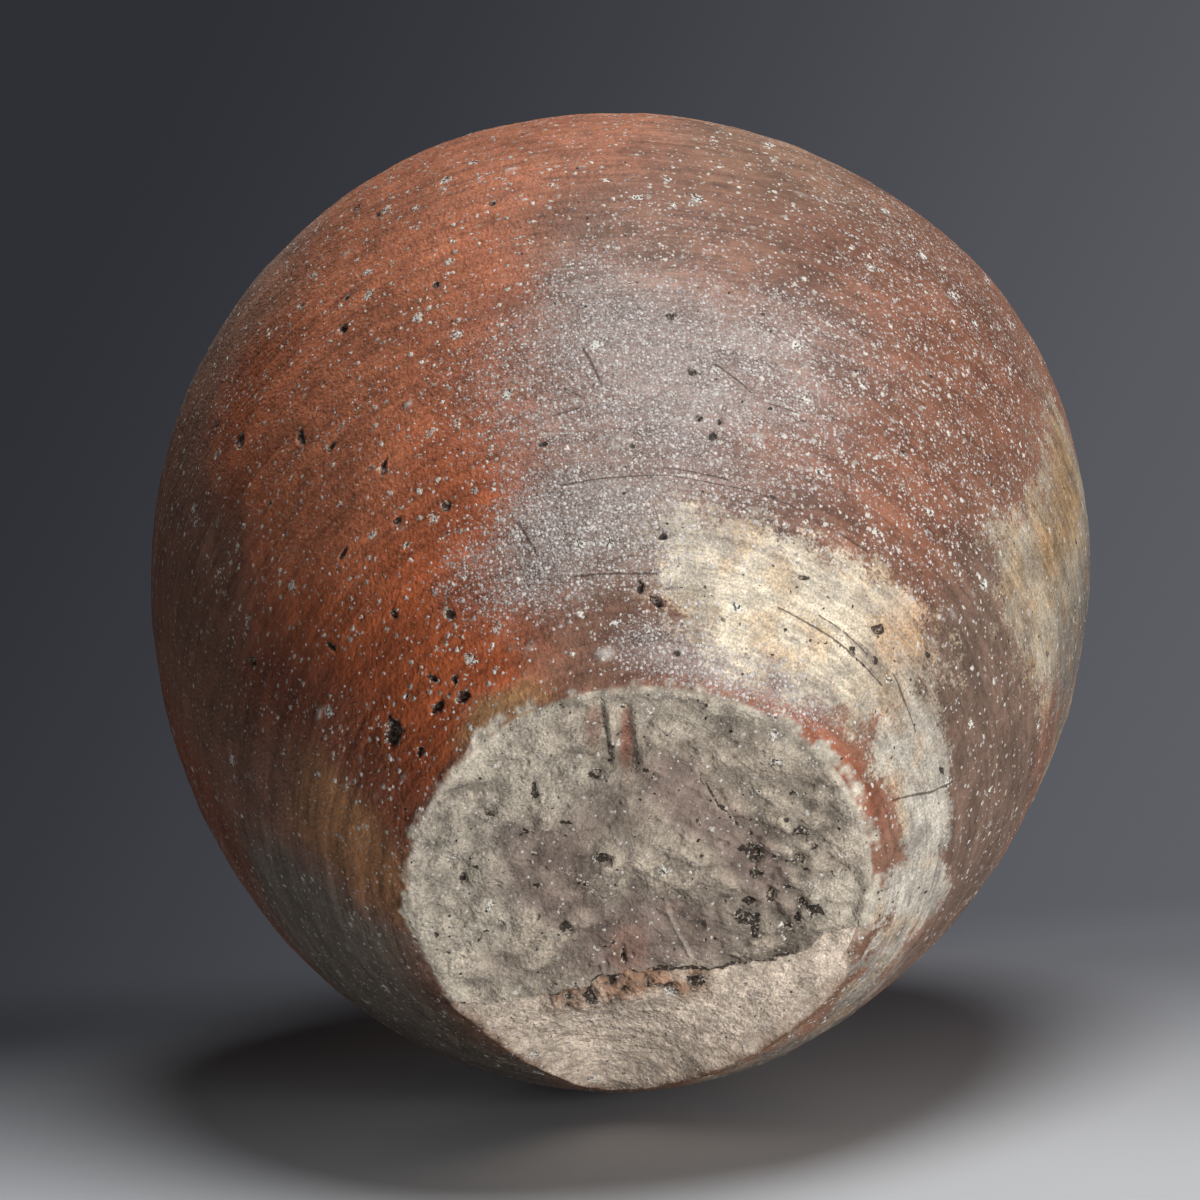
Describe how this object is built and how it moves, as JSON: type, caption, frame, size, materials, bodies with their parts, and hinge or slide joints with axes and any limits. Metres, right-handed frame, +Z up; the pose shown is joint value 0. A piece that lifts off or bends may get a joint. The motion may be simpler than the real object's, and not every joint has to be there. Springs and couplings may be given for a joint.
{
  "type": "storage jar",
  "caption": "Hand-built stoneware storage jar with a small flat base, a full round belly, a short drawn-in neck and a flared rolled rim.",
  "frame": {"origin": "centre of the base, on the surface that the jar stands on", "axes": "+Z up the jar's axis to the mouth, +Y towards the broken edge of the base"},
  "size_m": [0.3308, 0.3293, 0.3624],
  "materials": {
    "base_clay": "rough unglazed fired clay, grey-brown",
    "foot_clay": "unglazed fired clay with pale ash",
    "wall_clay": "unglazed fired clay with feldspar grit, orange-red to purple-grey",
    "shoulder_clay": "unglazed fired clay with feldspar grit, brown with ash"
  },
  "bodies": {
    "root": {"base_slab": "base_clay", "foot_course": "foot_clay", "wall_course_01": "wall_clay", "wall_course_02": "wall_clay", "wall_course_03": "wall_clay", "wall_course_04": "wall_clay", "wall_course_05": "wall_clay", "wall_course_06": "wall_clay", "wall_course_07": "shoulder_clay", "wall_course_08": "shoulder_clay", "wall_course_09": "shoulder_clay", "wall_course_10": "shoulder_clay", "neck_course": "shoulder_clay", "rim_lip": "shoulder_clay"}
  },
  "joints": []
}
